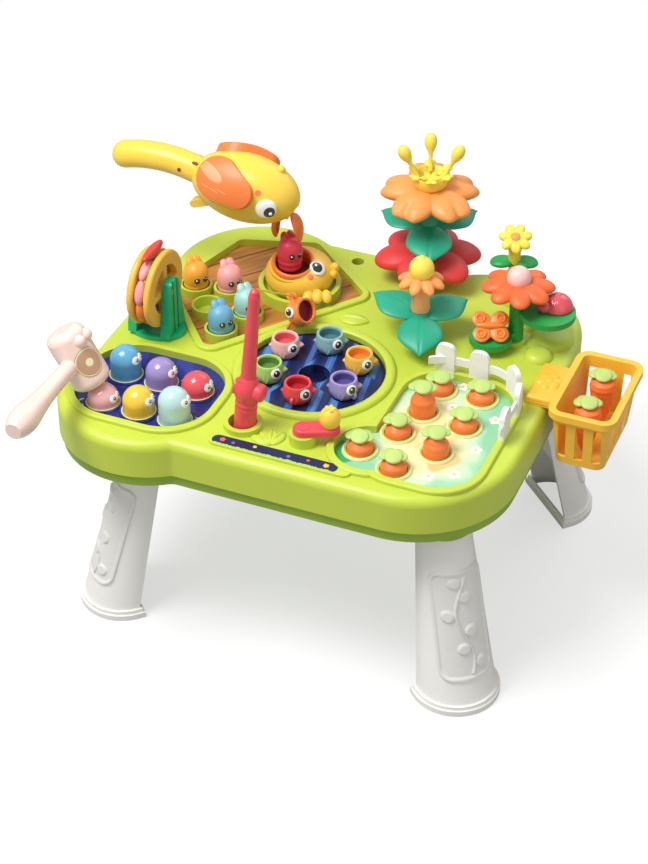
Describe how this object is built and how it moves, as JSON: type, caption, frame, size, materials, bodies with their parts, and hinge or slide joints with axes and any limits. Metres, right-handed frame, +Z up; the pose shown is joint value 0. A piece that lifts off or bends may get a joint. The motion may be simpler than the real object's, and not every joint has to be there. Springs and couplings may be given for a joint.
{
  "type": "activity table",
  "caption": "Toddler's activity table on splayed legs: turning fish pond, pop-up moles, carrots to pull, worms in cups, beak gripper, spinning wheel, stacking flowers and a basket.",
  "frame": {"origin": "on the floor, in the middle of the four legs", "axes": "+Z up; -Y towards the side with the fishing rod and the crank; +X towards the side with the basket"},
  "size_m": [0.564, 0.4981, 0.3974],
  "materials": {
    "white_plastic": "satin moulded plastic",
    "dark_green_plastic": "satin moulded plastic",
    "light_green_plastic": "satin moulded plastic",
    "screw_steel": "zinc plated",
    "plank_print": "printed plank pattern",
    "pond_print": "printed sheet",
    "patch_print": "printed sheet",
    "stand_green": "satin moulded plastic",
    "bun_yellow": "satin moulded plastic",
    "filling_red": "satin moulded plastic",
    "chick_yellow": "satin moulded plastic",
    "beak_orange": "satin moulded plastic",
    "coral_red": "satin moulded plastic",
    "gear_white": "moulded plastic",
    "teal_plastic": "satin moulded plastic",
    "pink_plastic": "satin moulded plastic",
    "leaf_green": "satin moulded plastic",
    "purple_plastic": "satin moulded plastic",
    "mint_plastic": "satin moulded plastic",
    "blue_plastic": "satin moulded plastic",
    "line_yellow": "soft cord",
    "spring_steel": "spring wire"
  },
  "bodies": {
    "table": {"leg_front_left": "white_plastic", "leg_front_right": "white_plastic", "leg_back_left": "white_plastic", "leg_back_right": "white_plastic", "bottom_tray": "dark_green_plastic", "case_screws": "screw_steel", "top_shell": "light_green_plastic", "deck_panel": "plank_print", "mole_panel": "pond_print", "carrot_panel": "patch_print", "fence": "white_plastic", "wheel_stand": "stand_green", "chick_body": "chick_yellow", "chick_mouth": "beak_orange", "mole_springs": "spring_steel"},
    "pond": {"pond_disc": "pond_print"},
    "crank": {"crank_arm": "coral_red", "crank_knob": "chick_yellow", "crank_gear": "gear_white"},
    "wheel": {"wheel_buns": "bun_yellow", "wheel_fillings": "filling_red"},
    "rod": {"fishing_rod": "coral_red", "fishing_line": "line_yellow", "hooked_fish": "beak_orange"},
    "hammer": {"hammer": "pink_plastic"},
    "bird": {"bird_body": "chick_yellow", "bird_wings": "beak_orange"},
    "trigger": {"bird_trigger": "chick_yellow"},
    "beak_front": {"beak_front": "beak_orange"},
    "beak_rear": {"beak_rear": "beak_orange"},
    "carrots": {"carrots": "beak_orange"},
    "basket": {"basket": "bun_yellow", "basket_carrots": "beak_orange"},
    "garden": {"garden_stem": "leaf_green", "leaf_bugs": "beak_orange"},
    "yellow_fish": {"yellow_fish": "chick_yellow"},
    "teal_fish": {"teal_fish": "teal_plastic"},
    "pink_fish": {"pink_fish": "pink_plastic"},
    "green_fish": {"green_fish": "leaf_green"},
    "red_fish": {"red_fish": "coral_red"},
    "purple_fish": {"purple_fish": "purple_plastic"},
    "pink_mole": {"pink_mole": "pink_plastic"},
    "yellow_mole": {"yellow_mole": "chick_yellow"},
    "mint_mole": {"mint_mole": "mint_plastic"},
    "blue_mole": {"blue_mole": "blue_plastic"},
    "purple_mole": {"purple_mole": "purple_plastic"},
    "red_mole": {"red_mole": "coral_red"},
    "orange_worm": {"orange_worm": "beak_orange"},
    "pink_worm": {"pink_worm": "pink_plastic"},
    "blue_worm": {"blue_worm": "blue_plastic"},
    "mint_worm": {"mint_worm": "mint_plastic"},
    "red_worm": {"red_worm": "coral_red"},
    "red_flower": {"red_flower": "coral_red"},
    "leaf_ring": {"leaf_ring": "stand_green"},
    "peach_flower": {"peach_flower": "beak_orange"},
    "stamen_cup": {"stamen_cup": "chick_yellow"},
    "leaf_trio": {"leaf_trio": "stand_green"},
    "bud_flower": {"bud_flower": "beak_orange"},
    "daisy_flower": {"daisy_flower": "beak_orange"},
    "back_flower": {"back_flower": "chick_yellow"}
  },
  "joints": [
    {"name": "pond_spin", "type": "hinge", "parent": "table", "child": "pond", "pos_m": [-0.017, -0.035, 0.238], "axis": [0, 0, 1], "continuous": true},
    {"name": "crank_spin", "type": "hinge", "parent": "table", "child": "crank", "pos_m": [0.016, -0.141, 0.251], "axis": [0, 0, 1], "continuous": true},
    {"name": "wheel_spin", "type": "hinge", "parent": "table", "child": "wheel", "pos_m": [-0.189, -0.026, 0.29], "axis": [1, 0, 0], "continuous": true},
    {"name": "yellow_fish_lift", "type": "slide", "parent": "pond", "child": "yellow_fish", "axis": [0, 0, 1], "range_m": [0, 0.025]},
    {"name": "teal_fish_lift", "type": "slide", "parent": "pond", "child": "teal_fish", "axis": [0, 0, 1], "range_m": [0, 0.025]},
    {"name": "pink_fish_lift", "type": "slide", "parent": "pond", "child": "pink_fish", "axis": [0, 0, 1], "range_m": [0, 0.025]},
    {"name": "green_fish_lift", "type": "slide", "parent": "pond", "child": "green_fish", "axis": [0, 0, 1], "range_m": [0, 0.025]},
    {"name": "red_fish_lift", "type": "slide", "parent": "pond", "child": "red_fish", "axis": [0, 0, 1], "range_m": [0, 0.025]},
    {"name": "purple_fish_lift", "type": "slide", "parent": "pond", "child": "purple_fish", "axis": [0, 0, 1], "range_m": [0, 0.025]},
    {"name": "rod_lift", "type": "slide", "parent": "table", "child": "rod", "axis": [0.0872, 0, 0.9962], "range_m": [0, 0.06]},
    {"name": "pink_mole_press", "type": "slide", "parent": "table", "child": "pink_mole", "axis": [0, 0, 1], "range_m": [-0.002, 0], "stiffness_N_per_m": 200, "springref_m": 0.0015, "deforming": ["mole_springs"]},
    {"name": "yellow_mole_press", "type": "slide", "parent": "table", "child": "yellow_mole", "axis": [0, 0, 1], "range_m": [-0.009, 0.009], "stiffness_N_per_m": 200, "springref_m": 0.0015, "deforming": ["mole_springs"]},
    {"name": "mint_mole_press", "type": "slide", "parent": "table", "child": "mint_mole", "axis": [0, 0, 1], "range_m": [-0.018, 0], "stiffness_N_per_m": 200, "springref_m": 0.0015, "deforming": ["mole_springs"]},
    {"name": "blue_mole_press", "type": "slide", "parent": "table", "child": "blue_mole", "axis": [0, 0, 1], "range_m": [-0.014, 0.004], "stiffness_N_per_m": 200, "springref_m": 0.0015, "deforming": ["mole_springs"]},
    {"name": "purple_mole_press", "type": "slide", "parent": "table", "child": "purple_mole", "axis": [0, 0, 1], "range_m": [-0.009, 0.009], "stiffness_N_per_m": 200, "springref_m": 0.0015, "deforming": ["mole_springs"]},
    {"name": "red_mole_press", "type": "slide", "parent": "table", "child": "red_mole", "axis": [0, 0, 1], "range_m": [-0.003, 0.015], "stiffness_N_per_m": 200, "springref_m": 0.0015, "deforming": ["mole_springs"]},
    {"name": "hammer_lift", "type": "slide", "parent": "table", "child": "hammer", "axis": [0, 0, 1], "range_m": [0, 0.06]},
    {"name": "orange_worm_lift", "type": "slide", "parent": "table", "child": "orange_worm", "axis": [0, 0, 1], "range_m": [0, 0.025]},
    {"name": "pink_worm_lift", "type": "slide", "parent": "table", "child": "pink_worm", "axis": [0, 0, 1], "range_m": [0, 0.025]},
    {"name": "blue_worm_lift", "type": "slide", "parent": "table", "child": "blue_worm", "axis": [0, 0, 1], "range_m": [0, 0.025]},
    {"name": "mint_worm_lift", "type": "slide", "parent": "table", "child": "mint_worm", "axis": [0, 0, 1], "range_m": [0, 0.025]},
    {"name": "red_worm_lift", "type": "slide", "parent": "table", "child": "red_worm", "axis": [0, 0, 1], "range_m": [0, 0.003]},
    {"name": "bird_lift", "type": "slide", "parent": "table", "child": "bird", "axis": [0, 0, 1], "range_m": [0, 0.08]},
    {"name": "trigger_pull", "type": "hinge", "parent": "bird", "child": "trigger", "pos_m": [-0.166, 0.085, 0.333], "axis": [0, 1, 0], "range_deg": [0, 12], "stiffness_Nm_per_rad": 0.05, "springref_deg": -5.73},
    {"name": "beak_front_open", "type": "hinge", "parent": "bird", "child": "beak_front", "pos_m": [-0.093, 0.085, 0.333], "axis": [0, -1, 0], "range_deg": [0, 18]},
    {"name": "beak_rear_open", "type": "hinge", "parent": "bird", "child": "beak_rear", "pos_m": [-0.093, 0.085, 0.333], "axis": [0, 1, 0], "range_deg": [0, 18]},
    {"name": "carrots_pull", "type": "slide", "parent": "table", "child": "carrots", "axis": [0, 0, 1], "range_m": [0, 0.04]},
    {"name": "basket_lift", "type": "slide", "parent": "table", "child": "basket", "axis": [0, 0, 1], "range_m": [0, 0.03]},
    {"name": "red_flower_lift", "type": "slide", "parent": "table", "child": "red_flower", "axis": [0, 0, 1], "range_m": [0, 0.025]},
    {"name": "leaf_ring_lift", "type": "slide", "parent": "red_flower", "child": "leaf_ring", "axis": [0, 0, 1], "range_m": [0, 0.025]},
    {"name": "peach_flower_lift", "type": "slide", "parent": "leaf_ring", "child": "peach_flower", "axis": [0, 0, 1], "range_m": [0, 0.025]},
    {"name": "stamen_cup_lift", "type": "slide", "parent": "peach_flower", "child": "stamen_cup", "axis": [0, 0, 1], "range_m": [0, 0.025]},
    {"name": "leaf_trio_lift", "type": "slide", "parent": "table", "child": "leaf_trio", "axis": [0, 0, 1], "range_m": [0, 0.025]},
    {"name": "bud_flower_lift", "type": "slide", "parent": "leaf_trio", "child": "bud_flower", "axis": [0, 0, 1], "range_m": [0, 0.025]},
    {"name": "garden_lift", "type": "slide", "parent": "table", "child": "garden", "axis": [0, 0, 1], "range_m": [0, 0.025]},
    {"name": "daisy_flower_lift", "type": "slide", "parent": "garden", "child": "daisy_flower", "axis": [0, 0, 1], "range_m": [0, 0.025]},
    {"name": "back_flower_lift", "type": "slide", "parent": "table", "child": "back_flower", "axis": [0, 0, 1], "range_m": [0, 0.025]}
  ],
  "couplings": [
    {"joint": "crank_spin", "follows": "pond_spin", "ratio": -2},
    {"joint": "beak_front_open", "follows": "trigger_pull", "ratio": 1.5},
    {"joint": "beak_rear_open", "follows": "trigger_pull", "ratio": 1.5}
  ]
}
